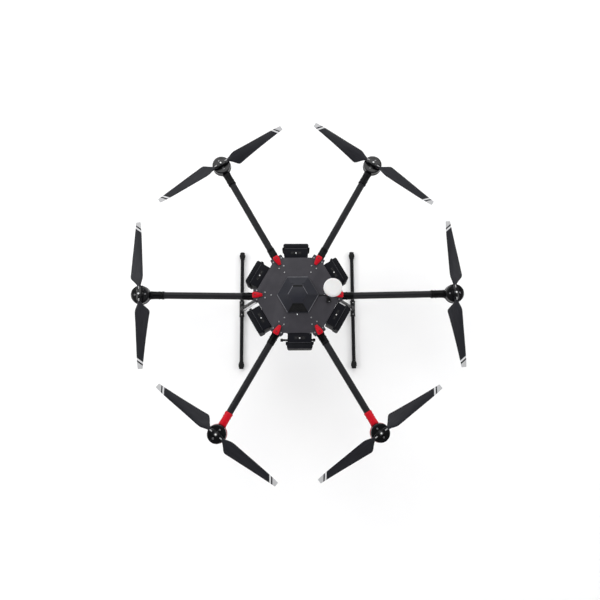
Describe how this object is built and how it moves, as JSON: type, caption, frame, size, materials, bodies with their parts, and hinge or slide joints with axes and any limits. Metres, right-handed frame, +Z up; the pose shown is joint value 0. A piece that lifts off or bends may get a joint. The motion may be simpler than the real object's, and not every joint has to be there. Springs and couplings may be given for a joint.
{
  "type": "six-rotor drone",
  "caption": "Folding heavy-lift hexacopter standing on retractable skids, with top-loading batteries around a hexagonal hub, folding blades and a folding receiver mast.",
  "frame": {"origin": "centre of the payload plate's underside, on the hub's vertical axis", "axes": "+Z up; the nose faces -Y; +X is the drone's own left side"},
  "size_m": [1.2038, 1.3167, 0.759],
  "materials": {
    "carbon": "satin woven carbon",
    "plate": "matt carbon plate",
    "black_moulding": "matt black",
    "cover": "satin black",
    "battery_black": "fine textured black",
    "gear_black": "satin black",
    "blade": "satin, with grey and white tip bands",
    "motor_black": "gloss black anodised",
    "red_moulding": "satin red",
    "white_plastic": "satin white",
    "circuit_board": "solder mask"
  },
  "bodies": {
    "airframe": {"upper_plate": "plate", "lower_plate": "plate", "centre_frame": "black_moulding", "top_cover": "cover", "flight_controller": "black_moulding", "power_board": "circuit_board", "payload_mount": "carbon", "gps_base": "black_moulding"},
    "arm_left": {"arm_left": "carbon", "motor_mount_left": "black_moulding"},
    "rotor_left": {"rotor_left": "motor_black"},
    "blade_left_a": {"blade_left_a": "blade"},
    "blade_left_b": {"blade_left_b": "blade"},
    "arm_lock_left": {"arm_lock_left": "red_moulding"},
    "arm_rear_left": {"arm_rear_left": "carbon", "motor_mount_rear_left": "black_moulding"},
    "rotor_rear_left": {"rotor_rear_left": "motor_black"},
    "blade_rear_left_a": {"blade_rear_left_a": "blade"},
    "blade_rear_left_b": {"blade_rear_left_b": "blade"},
    "arm_lock_rear_left": {"arm_lock_rear_left": "red_moulding"},
    "arm_rear_right": {"arm_rear_right": "carbon", "motor_mount_rear_right": "black_moulding"},
    "rotor_rear_right": {"rotor_rear_right": "motor_black"},
    "blade_rear_right_a": {"blade_rear_right_a": "blade"},
    "blade_rear_right_b": {"blade_rear_right_b": "blade"},
    "arm_lock_rear_right": {"arm_lock_rear_right": "red_moulding"},
    "arm_right": {"arm_right": "carbon", "motor_mount_right": "black_moulding"},
    "rotor_right": {"rotor_right": "motor_black"},
    "blade_right_a": {"blade_right_a": "blade"},
    "blade_right_b": {"blade_right_b": "blade"},
    "arm_lock_right": {"arm_lock_right": "red_moulding"},
    "arm_front_right": {"arm_front_right": "carbon", "motor_mount_front_right": "red_moulding"},
    "rotor_front_right": {"rotor_front_right": "motor_black"},
    "blade_front_right_a": {"blade_front_right_a": "blade"},
    "blade_front_right_b": {"blade_front_right_b": "blade"},
    "arm_lock_front_right": {"arm_lock_front_right": "red_moulding"},
    "arm_front_left": {"arm_front_left": "carbon", "motor_mount_front_left": "red_moulding"},
    "rotor_front_left": {"rotor_front_left": "motor_black"},
    "blade_front_left_a": {"blade_front_left_a": "blade"},
    "blade_front_left_b": {"blade_front_left_b": "blade"},
    "arm_lock_front_left": {"arm_lock_front_left": "red_moulding"},
    "battery_left_rear": {"battery_left_rear": "battery_black"},
    "power_button_left_rear": {"power_button_left_rear": "white_plastic"},
    "battery_rear": {"battery_rear": "battery_black"},
    "power_button_rear": {"power_button_rear": "white_plastic"},
    "battery_right_rear": {"battery_right_rear": "battery_black"},
    "power_button_right_rear": {"power_button_right_rear": "white_plastic"},
    "battery_right_front": {"battery_right_front": "battery_black"},
    "power_button_right_front": {"power_button_right_front": "white_plastic"},
    "battery_front": {"battery_front": "battery_black"},
    "power_button_front": {"power_button_front": "white_plastic"},
    "battery_left_front": {"battery_left_front": "battery_black"},
    "power_button_left_front": {"power_button_left_front": "white_plastic"},
    "gps_mast": {"gps_mast": "carbon", "gps_module": "white_plastic"},
    "landing_gear_left": {"landing_gear_left": "gear_black"},
    "landing_gear_right": {"landing_gear_right": "gear_black"}
  },
  "joints": [
    {"name": "arm_fold_left", "type": "hinge", "parent": "airframe", "child": "arm_left", "pos_m": [0.15, 0, 0.134], "axis": [0, 1, 0], "range_deg": [0, 75]},
    {"name": "rotor_spin_left", "type": "hinge", "parent": "arm_left", "child": "rotor_left", "pos_m": [0.5665, 0, 0.17044], "axis": [0, 0, 1], "continuous": true},
    {"name": "blade_fold_left_a", "type": "hinge", "parent": "rotor_left", "child": "blade_left_a", "pos_m": [0.56538, 0.01997, 0.194], "axis": [0, 0, -1], "range_deg": [0, 80]},
    {"name": "blade_fold_left_b", "type": "hinge", "parent": "rotor_left", "child": "blade_left_b", "pos_m": [0.56762, -0.01997, 0.194], "axis": [0, 0, 1], "range_deg": [0, 80]},
    {"name": "lock_turn_left", "type": "hinge", "parent": "airframe", "child": "arm_lock_left", "pos_m": [0.155, 0, 0.1633], "axis": [0, 0, -1], "range_deg": [0, 90]},
    {"name": "arm_fold_rear_left", "type": "hinge", "parent": "airframe", "child": "arm_rear_left", "pos_m": [0.075, 0.1299, 0.134], "axis": [-0.866, 0.5, 0], "range_deg": [0, 90]},
    {"name": "rotor_spin_rear_left", "type": "hinge", "parent": "arm_rear_left", "child": "rotor_rear_left", "pos_m": [0.28325, 0.4906, 0.17044], "axis": [0, 0, 1], "continuous": true},
    {"name": "blade_fold_rear_left_a", "type": "hinge", "parent": "rotor_rear_left", "child": "blade_rear_left_a", "pos_m": [0.26703, 0.5023, 0.194], "axis": [0, 0, -1], "range_deg": [0, 80]},
    {"name": "blade_fold_rear_left_b", "type": "hinge", "parent": "rotor_rear_left", "child": "blade_rear_left_b", "pos_m": [0.29947, 0.4789, 0.194], "axis": [0, 0, 1], "range_deg": [0, 80]},
    {"name": "lock_turn_rear_left", "type": "hinge", "parent": "airframe", "child": "arm_lock_rear_left", "pos_m": [0.0775, 0.13423, 0.1633], "axis": [0, 0, -1], "range_deg": [0, 90]},
    {"name": "arm_fold_rear_right", "type": "hinge", "parent": "airframe", "child": "arm_rear_right", "pos_m": [-0.075, 0.1299, 0.134], "axis": [-0.866, -0.5, 0], "range_deg": [0, 90]},
    {"name": "rotor_spin_rear_right", "type": "hinge", "parent": "arm_rear_right", "child": "rotor_rear_right", "pos_m": [-0.28325, 0.4906, 0.17044], "axis": [0, 0, 1], "continuous": true},
    {"name": "blade_fold_rear_right_a", "type": "hinge", "parent": "rotor_rear_right", "child": "blade_rear_right_a", "pos_m": [-0.26638, 0.50135, 0.194], "axis": [0, 0, 1], "range_deg": [0, 80]},
    {"name": "blade_fold_rear_right_b", "type": "hinge", "parent": "rotor_rear_right", "child": "blade_rear_right_b", "pos_m": [-0.30012, 0.47986, 0.194], "axis": [0, 0, -1], "range_deg": [0, 80]},
    {"name": "lock_turn_rear_right", "type": "hinge", "parent": "airframe", "child": "arm_lock_rear_right", "pos_m": [-0.0775, 0.13423, 0.1633], "axis": [0, 0, -1], "range_deg": [0, 90]},
    {"name": "arm_fold_right", "type": "hinge", "parent": "airframe", "child": "arm_right", "pos_m": [-0.15, 0, 0.134], "axis": [0, -1, 0], "range_deg": [0, 75]},
    {"name": "rotor_spin_right", "type": "hinge", "parent": "arm_right", "child": "rotor_right", "pos_m": [-0.5665, 0, 0.17044], "axis": [0, 0, 1], "continuous": true},
    {"name": "blade_fold_right_a", "type": "hinge", "parent": "rotor_right", "child": "blade_right_a", "pos_m": [-0.56758, 0.01997, 0.194], "axis": [0, 0, 1], "range_deg": [0, 80]},
    {"name": "blade_fold_right_b", "type": "hinge", "parent": "rotor_right", "child": "blade_right_b", "pos_m": [-0.56542, -0.01997, 0.194], "axis": [0, 0, -1], "range_deg": [0, 80]},
    {"name": "lock_turn_right", "type": "hinge", "parent": "airframe", "child": "arm_lock_right", "pos_m": [-0.155, 0, 0.1633], "axis": [0, 0, -1], "range_deg": [0, 90]},
    {"name": "arm_fold_front_right", "type": "hinge", "parent": "airframe", "child": "arm_front_right", "pos_m": [-0.075, -0.1299, 0.134], "axis": [0.866, -0.5, 0], "range_deg": [0, 90]},
    {"name": "rotor_spin_front_right", "type": "hinge", "parent": "arm_front_right", "child": "rotor_front_right", "pos_m": [-0.28325, -0.4906, 0.17044], "axis": [0, 0, 1], "continuous": true},
    {"name": "blade_fold_front_right_a", "type": "hinge", "parent": "rotor_front_right", "child": "blade_front_right_a", "pos_m": [-0.29879, -0.47802, 0.194], "axis": [0, 0, 1], "range_deg": [0, 80]},
    {"name": "blade_fold_front_right_b", "type": "hinge", "parent": "rotor_front_right", "child": "blade_front_right_b", "pos_m": [-0.26771, -0.50319, 0.194], "axis": [0, 0, -1], "range_deg": [0, 80]},
    {"name": "lock_turn_front_right", "type": "hinge", "parent": "airframe", "child": "arm_lock_front_right", "pos_m": [-0.0775, -0.13423, 0.1633], "axis": [0, 0, -1], "range_deg": [0, 90]},
    {"name": "arm_fold_front_left", "type": "hinge", "parent": "airframe", "child": "arm_front_left", "pos_m": [0.075, -0.1299, 0.134], "axis": [0.866, 0.5, 0], "range_deg": [0, 90]},
    {"name": "rotor_spin_front_left", "type": "hinge", "parent": "arm_front_left", "child": "rotor_front_left", "pos_m": [0.28325, -0.4906, 0.17044], "axis": [0, 0, 1], "continuous": true},
    {"name": "blade_fold_front_left_a", "type": "hinge", "parent": "rotor_front_left", "child": "blade_front_left_a", "pos_m": [0.29933, -0.47871, 0.194], "axis": [0, 0, -1], "range_deg": [0, 80]},
    {"name": "blade_fold_front_left_b", "type": "hinge", "parent": "rotor_front_left", "child": "blade_front_left_b", "pos_m": [0.26717, -0.5025, 0.194], "axis": [0, 0, 1], "range_deg": [0, 80]},
    {"name": "lock_turn_front_left", "type": "hinge", "parent": "airframe", "child": "arm_lock_front_left", "pos_m": [0.0775, -0.13423, 0.1633], "axis": [0, 0, -1], "range_deg": [0, 90]},
    {"name": "battery_slide_left_rear", "type": "slide", "parent": "airframe", "child": "battery_left_rear", "axis": [0, 0, 1], "range_m": [0, 0.112]},
    {"name": "button_press_left_rear", "type": "slide", "parent": "battery_left_rear", "child": "power_button_left_rear", "axis": [0, 0, -1], "range_m": [0, 0.0008], "stiffness_N_per_m": 400, "springref_m": -0.0004},
    {"name": "battery_slide_rear", "type": "slide", "parent": "airframe", "child": "battery_rear", "axis": [0, 0, 1], "range_m": [0, 0.112]},
    {"name": "button_press_rear", "type": "slide", "parent": "battery_rear", "child": "power_button_rear", "axis": [0, 0, -1], "range_m": [0, 0.0008], "stiffness_N_per_m": 400, "springref_m": -0.0004},
    {"name": "battery_slide_right_rear", "type": "slide", "parent": "airframe", "child": "battery_right_rear", "axis": [0, 0, 1], "range_m": [0, 0.112]},
    {"name": "button_press_right_rear", "type": "slide", "parent": "battery_right_rear", "child": "power_button_right_rear", "axis": [0, 0, -1], "range_m": [0, 0.0008], "stiffness_N_per_m": 400, "springref_m": -0.0004},
    {"name": "battery_slide_right_front", "type": "slide", "parent": "airframe", "child": "battery_right_front", "axis": [0, 0, 1], "range_m": [0, 0.112]},
    {"name": "button_press_right_front", "type": "slide", "parent": "battery_right_front", "child": "power_button_right_front", "axis": [0, 0, -1], "range_m": [0, 0.0008], "stiffness_N_per_m": 400, "springref_m": -0.0004},
    {"name": "battery_slide_front", "type": "slide", "parent": "airframe", "child": "battery_front", "axis": [0, 0, 1], "range_m": [0, 0.112]},
    {"name": "button_press_front", "type": "slide", "parent": "battery_front", "child": "power_button_front", "axis": [0, 0, -1], "range_m": [0, 0.0008], "stiffness_N_per_m": 400, "springref_m": -0.0004},
    {"name": "battery_slide_left_front", "type": "slide", "parent": "airframe", "child": "battery_left_front", "axis": [0, 0, 1], "range_m": [0, 0.112]},
    {"name": "button_press_left_front", "type": "slide", "parent": "battery_left_front", "child": "power_button_left_front", "axis": [0, 0, -1], "range_m": [0, 0.0008], "stiffness_N_per_m": 400, "springref_m": -0.0004},
    {"name": "mast_fold", "type": "hinge", "parent": "airframe", "child": "gps_mast", "pos_m": [0.112, -0.019, 0.183], "axis": [0, 1, 0], "range_deg": [0, 84]},
    {"name": "gear_retract_left", "type": "hinge", "parent": "airframe", "child": "landing_gear_left", "pos_m": [0.125, 0.025, 0.033], "axis": [0, -1, 0], "range_deg": [0, 70]},
    {"name": "gear_retract_right", "type": "hinge", "parent": "airframe", "child": "landing_gear_right", "pos_m": [-0.125, 0.025, 0.033], "axis": [0, 1, 0], "range_deg": [0, 70]}
  ],
  "couplings": [
    {"joint": "gear_retract_right", "follows": "gear_retract_left", "ratio": 1}
  ]
}
